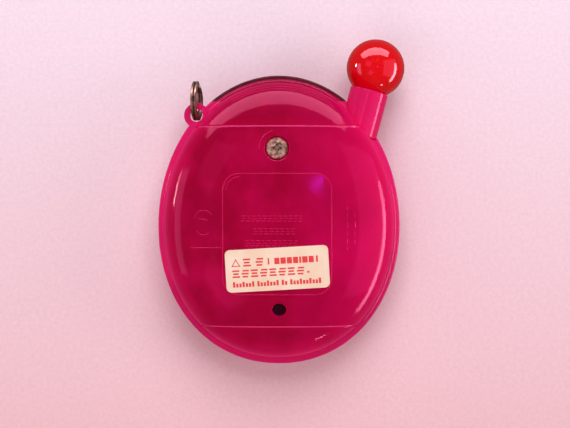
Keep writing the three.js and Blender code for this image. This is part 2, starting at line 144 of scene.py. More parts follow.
def soften(obj, angle=32):
    bm = bmesh.new()
    bm.from_mesh(obj.data)
    bmesh.ops.recalc_face_normals(bm, faces=bm.faces)
    bm.to_mesh(obj.data)
    bm.free()
    obj.data.polygons.foreach_set("use_smooth", [True] * len(obj.data.polygons))
    obj.data.set_sharp_from_angle(angle=math.radians(angle))


def grid_faces(rows, cols, wrap_rows=False, wrap_cols=False):
    faces = []
    for r in range(rows if wrap_rows else rows - 1):
        for c in range(cols if wrap_cols else cols - 1):
            a, b = r * cols + c, r * cols + (c + 1) % cols
            d, e = ((r + 1) % rows) * cols + c, ((r + 1) % rows) * cols + (c + 1) % cols
            faces.append((a, b, e, d))
    return faces


def lathe(name, profile, sides=64, place=None):
    """A closed solid turned about +Z. Profile: (radius, z), from the axis to the axis or closed on itself."""
    closed = profile[0] == profile[-1]
    points = profile[:-1] if closed else profile
    verts = []
    for r, z in points:
        for i in range(sides):
            a = 2 * math.pi * i / sides
            verts.append((r * math.cos(a), r * math.sin(a), z))
    faces = grid_faces(len(points), sides, wrap_rows=closed, wrap_cols=True)
    if place is not None:
        verts = [place @ Vector(v) for v in verts]
    obj = mesh_object(name, verts, faces)
    tidy(obj)
    return obj


def egg_lathe(name, profile, sides=160):
    """A closed solid whose circles follow the egg. Profile: (scale, z)."""
    closed = profile[0] == profile[-1]
    points = profile[:-1] if closed else profile
    verts = []
    for s, z in points:
        for i in range(sides):
            x, y = egg_point(2 * math.pi * i / sides, s)
            verts.append((x, y, z))
    obj = mesh_object(name, verts, grid_faces(len(points), sides, wrap_rows=closed, wrap_cols=True))
    tidy(obj)
    return obj


def tidy(obj, smooth_angle=32):
    """Merges doubled points, such as those on an axis, and drops what collapses."""
    bm = bmesh.new()
    bm.from_mesh(obj.data)
    bmesh.ops.remove_doubles(bm, verts=bm.verts, dist=2e-7)
    bmesh.ops.dissolve_degenerate(bm, edges=bm.edges, dist=2e-7)
    bm.to_mesh(obj.data)
    bm.free()
    soften(obj, smooth_angle)


def turned(px, py, turn, x=0.0, y=0.0):
    """A point turned about the origin, then moved to x, y."""
    c, s = math.cos(turn), math.sin(turn)
    return x + px * c - py * s, y + px * s + py * c


def rounded_rect(x, y, w, d, corner, turn=0.0, steps=8):
    points = []
    for k, (sx, sy) in enumerate(((1, 1), (-1, 1), (-1, -1), (1, -1))):
        for i in range(steps + 1):
            a = math.pi / 2 * (k + i / steps)
            px = sx * (w / 2 - corner) + corner * math.cos(a)
            py = sy * (d / 2 - corner) + corner * math.sin(a)
            points.append(turned(px, py, turn, x, y))
    return points


def plate(name, rect, z0, z1, edge=0.0):
    """An upright plate with round corners, and rounded rims if edge is given."""
    levels = [(0.0, z0), (0.0, z1)]
    if edge:
        arc = [math.pi / 2 * i / 4 for i in range(5)]
        levels = [(edge * (1 - math.sin(a)), z0 + edge * (1 - math.cos(a))) for a in arc]
        levels += [(edge * (1 - math.cos(a)), z1 - edge * (1 - math.sin(a))) for a in arc]
    loops = []
    for inset, z in levels:
        spec = dict(rect)
        spec["w"] -= 2 * inset
        spec["d"] -= 2 * inset
        spec["corner"] = max(0.05, spec["corner"] - inset)
        loops.append([(px, py, z) for px, py in rounded_rect(**spec)])
    cols = len(loops[0])
    verts = [v for loop in loops for v in loop]
    faces = grid_faces(len(loops), cols, wrap_cols=True)
    faces.append(tuple(range(cols)))
    faces.append(tuple(range(len(verts) - cols, len(verts))))
    obj = mesh_object(name, verts, faces)
    tidy(obj)
    return obj


def rod(name, x, y, radius, z0, z1, sides=48, flare=None):
    """An upright rod. flare: (z where it starts to widen, how much), for a cutter with a rounded mouth."""
    profile = [(0, z0), (radius, z0)]
    if flare:
        start, size = flare
        for i in range(7):
            a = math.pi / 2 * i / 6
            profile.append((radius + size * (1 - math.cos(a)), start + size * math.sin(a)))
        profile.append((radius + size, z1))
    else:
        profile.append((radius, z1))
    profile.append((0, z1))
    return lathe(name, profile, sides, Matrix.Translation((x, y, 0)))


def bead(points, width, height, closed=False, step=0.7):
    """A low raised line over the back's surface, through the points (x, y)."""
    path = []
    ends = list(zip(points, points[1:] + points[:1])) if closed else list(zip(points, points[1:]))
    for (x0, y0), (x1, y1) in ends:
        n = max(1, math.ceil(math.hypot(x1 - x0, y1 - y0) / step))
        path += [(x0 + (x1 - x0) * i / n, y0 + (y1 - y0) * i / n) for i in range(n)]
    if not closed:
        path.append(points[-1])
    verts = []
    for i, (x, y) in enumerate(path):
        before = path[i - 1] if closed or i else path[0]
        after = path[(i + 1) % len(path)] if closed or i < len(path) - 1 else path[-1]
        along = Vector((after[0] - before[0], after[1] - before[1], 0)).normalized()
        normal = back_normal(x, y)
        across = along.cross(normal).normalized()
        spot = Vector((x, y, back_z(x, y)))
        for o, h in ((-0.5, -0.6), (-0.32, 0.6), (0, 1), (0.32, 0.6), (0.5, -0.6)):
            verts.append(spot + across * o * width + normal * h * height)
    faces = grid_faces(len(path), 5, wrap_rows=closed, wrap_cols=True)
    if not closed:
        faces += [tuple(range(5)), tuple(range(len(verts) - 5, len(verts)))]
    return mesh_object("bead", verts, faces, 60)


def dashes(x, y, lengths, gap=0.35, width=0.2, height=0.03, upright=False):
    """A row of short beads: a stand-in for moulded lettering."""
    made = []
    for length in lengths:
        ends = [(x, y), (x, y + length)] if upright else [(x, y), (x + length, y)]
        made.append(bead(ends, width, height))
        x, y = (x, y + length + gap) if upright else (x + length + gap, y)
    return made


def block(name, x0, x1, y0, y1, z0, z1):
    v = [(x, y, z) for z in (z0, z1) for y in (y0, y1) for x in (x0, x1)]
    f = [(0, 2, 3, 1), (4, 5, 7, 6), (0, 1, 5, 4), (2, 6, 7, 3), (0, 4, 6, 2), (1, 3, 7, 5)]
    return mesh_object(name, v, f)


def combine(obj, others, operation="UNION"):
    """Joins, cuts or trims obj with the others, which are used up."""
    for other in others:
        mod = obj.modifiers.new("combine", "BOOLEAN")
        mod.operation, mod.object, mod.solver = operation, other, "EXACT"
        bpy.context.view_layer.objects.active = obj
        bpy.ops.object.modifier_apply(modifier=mod.name)
        bpy.data.objects.remove(other)
    tidy(obj)
    return obj


def cut(obj, *others):
    return combine(obj, others, "DIFFERENCE")


def merge(name, objs):
    """One object from several whose volumes stay separate."""
    with bpy.context.temp_override(active_object=objs[0], selected_editable_objects=objs):
        bpy.ops.object.join()
    objs[0].name = name
    return objs[0]


def finish_piece(obj, material, body, slot, *nodes):
    obj.data.materials.clear()
    obj.data.materials.append(material)
    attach(obj, body)
    if nodes:
        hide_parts(*nodes)
    return obj


# ---- Materials ----
def new_material(name):
    mat = bpy.data.materials.new(name)
    mat.use_nodes = True
    return mat, mat.node_tree, mat.node_tree.nodes["Principled BSDF"]


def node(tree, kind, **inputs):
    n = tree.nodes.new(kind)
    for key, value in inputs.items():
        n.inputs[key.replace("_", " ")].default_value = value
    return n


def noise(tree, coords, scale, detail=4.0, rough=0.55):
    n = node(tree, "ShaderNodeTexNoise", Scale=scale, Detail=detail, Roughness=rough)
    tree.links.new(coords, n.inputs["Vector"])
    return n.outputs["Fac"]


def to_range(tree, fac, low, high, from_low=0.0, from_high=1.0):
    n = tree.nodes.new("ShaderNodeMapRange")
    for key, value in (("From Min", from_low), ("From Max", from_high), ("To Min", low), ("To Max", high)):
        n.inputs[key].default_value = value
    tree.links.new(fac, n.inputs["Value"])
    return n.outputs["Result"]


def mix_colour(tree, fac, a, b, mode="MIX"):
    n = tree.nodes.new("ShaderNodeMix")
    n.data_type, n.blend_type = "RGBA", mode
    for socket, value in ((n.inputs["Factor"], fac), (n.inputs[6], a), (n.inputs[7], b)):
        if isinstance(value, bpy.types.NodeSocket):
            tree.links.new(value, socket)
        elif isinstance(value, (int, float)):
            socket.default_value = value
        else:
            socket.default_value = (*value, 1)
    return n.outputs[2]


def bump(tree, height, principled, strength, distance):
    n = node(tree, "ShaderNodeBump", Strength=strength, Distance=distance)
    tree.links.new(height, n.inputs["Height"])
    tree.links.new(n.outputs["Normal"], principled.inputs["Normal"])


def object_coords(tree):
    return tree.nodes.new("ShaderNodeTexCoord").outputs["Object"]


def surface(
    name,
    dark,
    light,
    roughness=(0.3, 0.4),
    scale=600.0,
    metallic=0.0,
    bumps=0.0,
    bump_scale=2500.0,
    **uniform,
):
    """Mottled colour, with finer grain in its roughness and bump. bumps: their height in millimetres."""
    mat, tree, p = new_material(name)
    coords = object_coords(tree)
    spots = to_range(tree, noise(tree, coords, scale), 0.0, 1.0, 0.32, 0.68)
    tree.links.new(mix_colour(tree, spots, dark, light), p.inputs["Base Color"])
    fine = noise(tree, coords, bump_scale, 5.0)
    tree.links.new(to_range(tree, fine, *roughness, 0.3, 0.7), p.inputs["Roughness"])
    p.inputs["Metallic"].default_value = metallic
    for key, value in uniform.items():
        p.inputs[key.replace("_", " ")].default_value = value
    if bumps:
        bump(tree, fine, p, 0.6, bumps * MM)
    return mat


def pink_plastic(name, flat, steep, through, clear, roughness=(0.06, 0.13), glow=0.25):
    """Clear tinted plastic, partly see-through, with painted light: deep where it lies flat, painted brighter
    and glowing on its steep edges, and painted brighter towards its right side.
    """
    mat, tree, p = new_material(name)
    coords = object_coords(tree)
    slope = tree.nodes.new("ShaderNodeSeparateXYZ")
    tree.links.new(tree.nodes.new("ShaderNodeTexCoord").outputs["Normal"], slope.inputs["Vector"])
    place = tree.nodes.new("ShaderNodeSeparateXYZ")
    tree.links.new(coords, place.inputs["Vector"])
    # painted light: steep faces are coloured towards the bright pink, standing in for light passing through
    # the plastic's edges
    base = mix_colour(tree, to_range(tree, slope.outputs["Z"], 1.0, 0.0, 0.15, 0.85), flat, steep)
    # painted light: the plastic is coloured brighter towards its right side
    painted_side_light = to_range(tree, place.outputs["X"], 0.0, 0.6, ORIGIN.x + 1 * MM, ORIGIN.x + 22 * MM)
    base = mix_colour(tree, painted_side_light, base, steep)
    cloud = noise(tree, coords, 110.0, 3.0)
    base = mix_colour(tree, to_range(tree, cloud, 0.0, 0.3, 0.42, 0.75), base, steep)
    shade = noise(tree, coords, 60.0, 2.0)
    base = mix_colour(tree, to_range(tree, shade, 0.0, 0.55, 0.45, 0.7), base, tuple(0.62 * c for c in flat))
    tree.links.new(base, p.inputs["Base Color"])
    fine = noise(tree, coords, 1800.0, 6.0)
    tree.links.new(to_range(tree, fine, *roughness, 0.3, 0.75), p.inputs["Roughness"])
    bump(tree, fine, p, 0.25, 0.004 * MM)
    p.inputs["IOR"].default_value = 1.35
    p.inputs["Specular Tint"].default_value = (1.0, 0.3, 0.5, 1)
    # painted glow: every face gives off a little pink light of its own, steep faces the most
    edge = to_range(tree, slope.outputs["Z"], 1.0, 0.25, 0.1, 0.8)
    tree.links.new(mix_colour(tree, edge, (0.0, 0.0, 0.0), (0.9, 0.0, 0.17)), p.inputs["Emission Color"])
    p.inputs["Emission Strength"].default_value = glow
    window = tree.nodes.new("ShaderNodeBsdfTransparent")
    window.inputs["Color"].default_value = (*through, 1)
    mix = tree.nodes.new("ShaderNodeMixShader")
    mix.inputs["Fac"].default_value = clear
    tree.links.new(p.outputs["BSDF"], mix.inputs[1])
    tree.links.new(window.outputs["BSDF"], mix.inputs[2])
    tree.links.new(mix.outputs["Shader"], tree.nodes["Material Output"].inputs["Surface"])
    return mat


# HOT_PINK is painted light on steep edges and on the right side, and also the colour of the random lighter
# clouds
CRIMSON, HOT_PINK = (0.29, 0.001, 0.026), (0.86, 0.004, 0.15)
THROUGH = (0.9, 0.02, 0.16)
back_pink = pink_plastic("back_pink", CRIMSON, HOT_PINK, THROUGH, 0.28)
# painted highlight: a lighter plastic for the beads along the door's seams
seam_highlight_pink = pink_plastic("seam_highlight_pink", (0.6, 0.035, 0.16), (0.74, 0.055, 0.21), THROUGH, 0.1)
# painted highlight: a lighter plastic for the moulded marks and the top groove, where their ridges catch
# light
marks_highlight_pink = pink_plastic("marks_highlight_pink", (0.47, 0.006, 0.06), (0.62, 0.02, 0.12), THROUGH, 0.15)
# painted light: a lighter copy of the back's plastic for the rim, standing in for light through its thin edge
lit_rim_pink = pink_plastic("lit_rim_pink", (0.66, 0.01, 0.13), (0.72, 0.014, 0.16), THROUGH, 0.15, glow=0.12)
stub_pink = pink_plastic("stub_pink", (0.66, 0.01, 0.11), (0.66, 0.008, 0.1), THROUGH, 0.1, (0.12, 0.2))
ball_red = surface(
    "ball_red",
    (0.6, 0.0, 0.003),
    (0.7, 0.002, 0.006),
    (0.04, 0.1),
    90.0,
    bumps=0.003,
    Specular_Tint=(1.0, 0.62, 0.58, 1),
)
smoke = surface(
    "smoke",
    (0.05, 0.006, 0.01),
    (0.09, 0.014, 0.02),
    (0.05, 0.12),
    200.0,
    IOR=1.25,
    Specular_Tint=(1.0, 0.5, 0.6, 1),
)
pale = surface("pale_pink", (0.84, 0.55, 0.63), (0.9, 0.62, 0.7), (0.15, 0.25), 150.0, bumps=0.004)
paper = surface("sticker_paper", (0.72, 0.53, 0.36), (0.78, 0.64, 0.49), (0.45, 0.6), 160.0, bumps=0.006)
ink = surface("sticker_ink", (0.6, 0.02, 0.02), (0.72, 0.05, 0.04), (0.4, 0.5), 3000.0)
worn_screw = surface(
    "worn_screw", (0.035, 0.014, 0.01), (0.62, 0.44, 0.3), (0.3, 0.6), 1500.0, 0.35, 0.03, 2200.0
)
aged_steel = surface(
    "aged_steel", (0.03, 0.018, 0.01), (0.4, 0.28, 0.18), (0.2, 0.45), 700.0, 0.7, 0.02, 1500.0
)
steel = surface("steel", (0.24, 0.23, 0.215), (0.36, 0.35, 0.33), (0.34, 0.48), 400.0, 1.0, 0.003)
brass = surface("brass", (0.55, 0.36, 0.12), (0.75, 0.53, 0.22), (0.2, 0.35), 400.0, 1.0, 0.003)
board_green = surface("board_green", (0.01, 0.09, 0.03), (0.02, 0.16, 0.06), (0.3, 0.4), 700.0, bumps=0.01)
black = surface("black_plastic", (0.01, 0.01, 0.011), (0.02, 0.02, 0.022), (0.3, 0.45), 700.0, bumps=0.006)
rubber = surface("rubber", (0.03, 0.03, 0.032), (0.05, 0.05, 0.053), (0.7, 0.85), 900.0, bumps=0.012)
white = surface("white_plastic", (0.7, 0.68, 0.62), (0.8, 0.78, 0.73), (0.35, 0.5), 300.0, bumps=0.005)
red_sleeve = surface("red_sleeve", (0.4, 0.01, 0.01), (0.52, 0.02, 0.02), (0.35, 0.5), 900.0, bumps=0.006)
button_red = surface("button_red", (0.55, 0.003, 0.01), (0.7, 0.01, 0.02), (0.1, 0.2), 200.0, bumps=0.003)
lens_clear = surface("lens_clear", (0.9, 0.9, 0.9), (0.97, 0.97, 0.97), (0.03, 0.08), 200.0, Alpha=0.18)
lcd_glass = surface("lcd_glass", (0.28, 0.32, 0.22), (0.34, 0.38, 0.27), (0.12, 0.2), 900.0)


# ---- Back: door and end caps, swept row by row across the toy so that their seams are straight ----
ACROSS = 44  # steps from the middle of the dome to its side


def section(y, inset, foot=BACK_EDGE_Z):
    """Points (x, z) of the back's outline at a height y, left to right, moved in by inset."""
    scale = BACK_SCALE - inset / HALF_WIDTH
    reach = BOTTOM_REACH if y < 0 else TOP_REACH
    start = math.asin(min(1.0, (min(scale, abs(y) / reach) / scale) ** 2))
    right = []
    for i in range(ACROSS + 1):
        a = start + (math.pi / 2 - start) * (i / ACROSS) ** 1.6
        s = scale * math.sqrt(math.sin(a))
        x = half_chord(y, s) if i else 0.0
        right.append((x, max(foot, BACK_EDGE_Z + (BACK_RISE - inset) * math.cos(a))))
    return [(-x, z) for x, z in reversed(right[1:])] + right


def swept(name, outer_rows, inner_rows, foot=BACK_EDGE_Z):
    """A shell between two sets of rows (y, inset), of equal number, closed all round."""
    verts = []
    for rows in (outer_rows, inner_rows):
        for y, inset in rows:
            verts += [(x, y, z) for x, z in section(y, inset, foot)]
    cols = len(verts) // (2 * len(outer_rows))
    n = len(outer_rows)
    half = n * cols
    faces = grid_faces(n, cols)
    faces += [tuple(half + i for i in reversed(f)) for f in grid_faces(n, cols)]
    for r in range(n - 1):
        for c in (0, cols - 1):
            a, b = r * cols + c, (r + 1) * cols + c
            faces.append((a, b, half + b, half + a))
    for r in (0, n - 1):
        for c in range(cols - 1):
            a, b = r * cols + c, r * cols + c + 1
            faces.append((a, b, half + b, half + a))
    obj = mesh_object(name, verts, faces)
    tidy(obj)
    return obj


def seam_rows(y_end, direction, radius=0.22, steps=5):
    """Rows that roll the surface over at a seam: from the flat of the surface to the seam's face."""
    rows = []
    for i in range(steps + 1):
        a = math.pi / 2 * i / steps
        rows.append((y_end - direction * radius * (1 - math.sin(a)), radius * (1 - math.cos(a))))
    return rows


def spread(y0, y1, count):
    return [y0 + (y1 - y0) * i / count for i in range(count + 1)]


def battery_door():
    top, bottom = DOOR_TOP_Y - 0.06, DOOR_BOTTOM_Y + 0.06
    ends = [seam_rows(bottom, -1)[::-1], seam_rows(top, 1)]
    middle = [(y, 0.0) for y in spread(bottom + 0.4, top - 0.4, 70)]
    outer = ends[0] + middle + ends[1]
    inner = [(y, WALL) for y in spread(bottom, top, len(outer) - 1)]
    door = swept("battery_door_shell", outer, inner)
    rib = plate("rib", RIB, 14.4, 19.0)
    cut(rib, plate("rib_inside", dict(WELL, w=19.5, d=21.9, corner=2.3), 14.0, 19.5))
    boss = rod("boss", SCREW.x, SCREW.y, 4.0, 15.9, 18.9)
    combine(door, [rib, boss])
    screw_top = back_z(*SCREW)
    reset_top = back_z(*RESET)
    cut(
        door,
        rod("recess", SCREW.x, SCREW.y, 2.42, 17.25, 22, 72, (screw_top - 0.3, 0.3)),
        rod("screw_hole", SCREW.x, SCREW.y, 1.3, 15, 18),
        rod("reset_mouth", RESET.x, RESET.y, 1.43, 14, 22, 64, (reset_top - 0.25, 0.25)),
    )
    return door


def circle(x, y, radius, start=0.0, end=2 * math.pi, count=40):
    return [(x + radius * math.cos(a), y + radius * math.sin(a)) for a in spread(start, end, count)]


def seam_lines():
    lines = []
    for y in (DOOR_TOP_Y - 0.08, DOOR_BOTTOM_Y + 0.08):
        side = half_chord(y, BACK_SCALE) - 0.9
        lines.append(bead([(-side, y), (side, y)], 0.26, 0.05))
    return lines


def door_marks():
    """Moulded lines on the door: its rib, its boss, and rows of plain dashes."""
    inner = dict(WELL, w=20.0, d=22.4, corner=2.6)
    marks = [
        bead(rounded_rect(**RIB), 0.2, 0.05, True),
        bead(rounded_rect(**inner)[9:18], 0.16, 0.03),
        bead(circle(SCREW.x, SCREW.y, 3.5, 1.8, 3.2, 12), 0.2, 0.03),
        bead([(-17.2, -4.4), (-11.2, -4.4)], 0.22, 0.05),
    ]
    rows = (
        (-7.4, 1.3, (0.9, 0.5, 0.8, 0.6, 0.9, 0.5, 0.5, 0.9, 0.7, 0.5, 0.8, 0.6)),
        (-5.0, -1.2, (0.6, 0.9, 0.6, 0.8, 0.5, 0.9, 0.6, 0.8)),
        (-6.6, -3.5, (0.8, 0.6, 0.9, 0.5, 0.8, 0.9, 0.5, 0.7, 0.8, 0.6)),
    )
    for x, y, lengths in rows:
        marks += dashes(x, y + 0.5, lengths) + dashes(x, y - 0.5, lengths[::-1])
        marks += dashes(x + 0.2, y, lengths[2:] + (0.5, 0.5), 0.35, 0.16, 0.02)
    marks += dashes(13.4, -4.8, (0.5, 0.8, 0.8, 1.0, 1.0, 0.6), 0.75, 0.2, 0.035, True)
    marks += dashes(14.9, -3.6, (0.7, 0.9, 1.2, 0.6), 0.8, 0.2, 0.035, True)
    marks.append(bead(circle(-14.7, 1.0, 1.9, 0.5, math.pi - 0.2, 14), 0.2, 0.035))
    marks.append(bead(circle(-14.7, -0.4, 1.5, math.pi + 0.5, 2 * math.pi - 0.9, 12), 0.2, 0.035))
    marks.append(bead([(-15.7, 1.3), (-13.9, 1.0)], 0.2, 0.035))
    return marks


def end_cap(name, seam_y, direction):
    """The part of the back beyond the door, from a seam to the egg's end."""
    reach = TOP_REACH if direction > 0 else BOTTOM_REACH
    start = math.asin(abs(seam_y) / (reach * BACK_SCALE))
    rolled = seam_rows(seam_y, -direction)[::-1]
    rest = [
        (direction * reach * BACK_SCALE * math.sin(start + (math.pi / 2 - start) * t), 0.0)
        for t in spread(0.02, 1.0, 40)
    ]
    outer = rolled + rest
    inner_scale = BACK_SCALE - WALL / HALF_WIDTH
    inner_start = math.asin((abs(seam_y) + 1.2) / (reach * inner_scale))
    inner = [
        (direction * reach * inner_scale * math.sin(inner_start + (math.pi / 2 - inner_start) * t), WALL)
        for t in spread(0.0, 1.0, len(outer) - 1)
    ]
    return swept(name, outer, inner, DECK_TOP_Z)


def stub_cutter():
    r, end = STUB_RADIUS + GAP, STUB_END + GAP
    return lathe("stub_cutter", [(0, STUB_TOP), (r, STUB_TOP), (r, end), (0, end)], 64, LEAN)


def back_shell():
    top = end_cap("top_cap", DOOR_TOP_Y, 1)
    bottom = end_cap("bottom_cap", DOOR_BOTTOM_Y, -1)
    cut(top, stub_cutter())
    outline = [(0, DECK_FOOT_Z), (BACK_SCALE, DECK_FOOT_Z), (BACK_SCALE, DECK_TOP_Z), (0, DECK_TOP_Z)]
    deck = egg_lathe("deck", outline, 240)
    well = plate("well", dict(WELL, w=WELL["w"] + 2, d=WELL["d"] + 2, corner=4), 9.3, DECK_TOP_Z - 0.1)
    nut_boss = rod("nut_boss", SCREW.x, SCREW.y, 3.6, 9.4, DECK_TOP_Z + 0.3)
    tube = rod("reset_tube", RESET.x, RESET.y, 2.4, 9.6, 17.2)
    side_rib = block("side_rib", -17.2, -11.6, -4.6, -4.2, DECK_TOP_Z - 0.1, 14.6)
    combine(deck, [well, nut_boss, tube, side_rib])
    cut(
        deck,
        plate("well_inside", WELL, 10.1, 15.0),
        plate("nut_pocket", dict(x=SCREW.x, y=SCREW.y, w=4.3, d=4.3, corner=0.1), 9, 12.05),
        rod("nut_hole", SCREW.x, SCREW.y, 1.25, 9, 14),
        rod("reset_bore", RESET.x, RESET.y, 1.48, 9, 18),
        stub_cutter(),
        block("lower_light_hole", -6, 6, -23.6, -21.4, 9, 12.7),
        block("upper_light_hole", -7, 7, 21.6, 23.8, 9, 12.7),
        *[rod("screw_way", x, y, 1.15, 9, 14, 24) for x, y in CASE_SCREWS],
        rod("wire_way", 5.5, 12.9, 1.0, 9, 14, 24),
        rod("wire_way", -9.0, -12.0, 0.8, 9, 14, 24),
    )
    return merge("back_shell_body", [deck, top, bottom])


def collar(name, y0, y1):
    """The soft step between the rim and the back, from y0 to y1, with room for the split ring to swing."""
    run = LIP_SCALE - COLLAR_SCALE
    step = [
        (COLLAR_SCALE + run * t, DECK_FOOT_Z + COLLAR_RISE * (1 - (1 - t) ** 2))
        for t in spread(0, 1, 8)
    ]
    ring = egg_lathe(name, step + [(LIP_SCALE, DECK_FOOT_Z), (COLLAR_SCALE, DECK_FOOT_Z)], 240)
    combine(ring, [block("collar_limits", -30, 30, y0, y1, 10, 13)], "INTERSECT")
    return cut(ring, stub_cutter(), rod("ring_room", LUG.x + 0.4, LUG.y + 0.5, 1.9, 10, 13))


def top_groove():
    """A long low loop moulded along the top of the back."""
    outer = [egg_point(a, 0.917) for a in spread(math.radians(65), math.radians(115), 40)]
    inner = [egg_point(a, 0.9) for a in spread(math.radians(115), math.radians(65), 40)]
    return bead(outer + inner, 0.22, 0.06, True)


def front_profile(inset):
    edge, rise = 1 - inset / HALF_WIDTH, FRONT_RISE - inset
    points = []
    for i in range(25):
        a = math.pi / 2 * i / 24
        points.append((edge * math.sin(a) ** (2 / 3), FRONT_EDGE_Z - rise * math.cos(a)))
    return points


def rim_fillet(radius=0.5):
    r = radius / HALF_WIDTH
    return [
        (1 - r * (1 - math.cos(a)), RIM_TOP_Z - radius * (1 - math.sin(a)))
        for a in spread(0, math.pi / 2, 5)
    ]


def front_shell():
    inner_edge = 1 - WALL / HALF_WIDTH
    profile = front_profile(0) + rim_fillet() + [(inner_edge, RIM_TOP_Z)] + front_profile(WALL)[::-1]
    shell = egg_lathe("front_shell_body", profile)
    half = [(2.5, 0.95), (2.43, 1.13), (2.25, 1.2), (0, 1.2)]
    outline = [(r, -z) for r, z in reversed(half)] + half
    lug = lathe("lug", outline, 48, Matrix.Translation(LUG))
    cavity = egg_lathe("cavity", front_profile(WALL) + [(inner_edge, 12.0), (0, 12.0)], 96)
    cut(lug, cavity)
    combine(shell, [lug])
    cut(
        shell,
        rod("lug_hole", LUG.x, LUG.y, 1.3, 4, 12, 40),
        plate("screen_pocket", dict(SCREEN, w=31.9, d=27.9, corner=9.1), -1, 2.2),
        plate("screen_window", dict(SCREEN, w=22, d=16, corner=2), 1, 6),
        block("window_slot", -20, 20, WINDOW_ENDS_Y, 36, 6.0, 16),
        stub_cutter(),
        *[rod("button_hole", x, y, 2.75, -1, 6, 48) for x, y in BUTTONS.values()],
    )
    return shell


def ir_window():
    inner_edge = 1 - WALL / HALF_WIDTH
    profile = front_profile(0) + rim_fillet(0.35) + [(inner_edge, RIM_TOP_Z)] + front_profile(WALL)[::-1]
    ring = egg_lathe("ir_window_strip", profile)
    combine(ring, [block("window_limits", -19, 19, WINDOW_ENDS_Y + 0.1, 36, 6.1, 16)], "INTERSECT")
    return ring


finish_piece(battery_door(), back_pink, "battery_door", "shell_pink", "battery_door")
finish_piece(back_shell(), back_pink, "case", "shell_pink", "back_shell")
# The seam beads take the lighter plastic: a painted highlight along each seam.
finish_piece(merge("door_seam_lines", seam_lines()), seam_highlight_pink, "battery_door", "shell_pink")
# The moulded marks take the lighter plastic: painted highlights.
finish_piece(merge("door_moulded_marks", door_marks()), marks_highlight_pink, "battery_door", "shell_pink")
# The collar along the sides takes the lighter rim plastic as painted light; the arc by the window keeps the
# back's plastic.
finish_piece(collar("collar_ring", -40, WINDOW_ENDS_Y), lit_rim_pink, "case", "shell_pink")
finish_piece(collar("collar_arc", WINDOW_ENDS_Y, 40), back_pink, "case", "shell_pink")
# The top groove takes the lighter plastic: a painted highlight.
finish_piece(top_groove(), marks_highlight_pink, "case", "shell_pink")
# The front shell takes the lighter rim plastic: painted light.
finish_piece(front_shell(), lit_rim_pink, "case", "shell_pink", "front_shell")
finish_piece(ir_window(), smoke, "case", "smoke", "ir_window")


# ---- Antenna: a ball in a stub, each turned about its own axis and then leaned over ----
def antenna_ball():
    """The ball, with a hairline where its two moulded halves meet."""
    points = []
    for i in range(49):
        a = math.pi * i / 48
        groove = 0.035 * math.exp(-(((a - math.pi / 2) / 0.012) ** 2))
        points.append(((BALL_RADIUS - groove) * math.sin(a), -BALL_RADIUS * math.cos(a)))
    return lathe("antenna_ball_body", points, 96, LEAN)


def antenna_stub():
    """A round stub cupped to the ball, with a ridge between two grooves along its upper side."""
    seat = BALL_RADIUS + 0.08
    lip = 0.28
    r = STUB_RADIUS
    inner = [(seat * math.sin(a), seat * math.cos(a)) for a in spread(0.0, math.asin((r - 0.45) / seat), 10)]
    rim = [
        (r - lip * (1 - math.sin(a)), STUB_TOP + lip * (1 - math.cos(a)))
        for a in spread(0, math.pi / 2, 6)
    ]
    outer = [(r, z) for z in spread(STUB_TOP + 1, STUB_END - 0.3, 12)] + [(r - 0.3, STUB_END), (0, STUB_END)]
    stub = lathe("antenna_stub_body", inner + rim + outer, 144, LEAN)
    back = LEAN.inverted()
    for vertex in stub.data.vertices:
        p = back @ ((vertex.co - ORIGIN) / MM)
        if math.hypot(p.x, p.y) > r - 0.3 and p.z > STUB_TOP:
            a = math.degrees(math.atan2(p.y, p.x))
            swell = 0.13 * math.exp(-(((a - 103) / 6) ** 2)) - 0.3 * math.exp(-(((a - 90) / 4) ** 2))
            swell -= 0.28 * math.exp(-(((a - 117) / 4) ** 2))
            grow = 1 + swell / r
            vertex.co = ORIGIN + (LEAN @ Vector((p.x * grow, p.y * grow, p.z))) * MM
    return stub


finish_piece(antenna_ball(), ball_red, "case", "ball_red", "antenna_ball")
finish_piece(antenna_stub(), stub_pink, "case", "stub_pink", "antenna_stub")


# ---- Split ring: two turns of flattened wire ----
def split_ring():
    turns, steps, around = 2.0, 180, 16
    mean, radial, axial = 3.45, 0.53, 0.3
    upright = Matrix.Rotation(RING_TURN, 4, "Y") @ Matrix.Rotation(math.pi / 2, 4, "Y")
    place = Matrix.Translation((LUG.x, RING_Y, LUG.z)) @ upright
    verts = []
    for i in range(steps + 1):
        t = i / steps
        a = 2 * math.pi * turns * t + math.radians(60)
        side = -0.33 + 0.66 * min(1.0, max(0.0, (t - 0.42) / 0.16))
        taper = min(1.0, 0.35 + 12 * min(t, 1 - t))
        for k in range(around):
            b = 2 * math.pi * k / around
            cr = mean + radial * taper * math.copysign(abs(math.cos(b)) ** 0.8, math.cos(b))
            cz = side + axial * taper * math.copysign(abs(math.sin(b)) ** 0.8, math.sin(b))
            verts.append(place @ Vector((cr * math.cos(a), cr * math.sin(a), cz)))
    faces = grid_faces(steps + 1, around, wrap_cols=True)
    faces.append(tuple(range(around)))
    faces.append(tuple(range(steps * around, (steps + 1) * around)))
    return mesh_object("key_ring_coil", verts, faces)


finish_piece(split_ring(), aged_steel, "key_ring", "aged_steel", "key_ring")


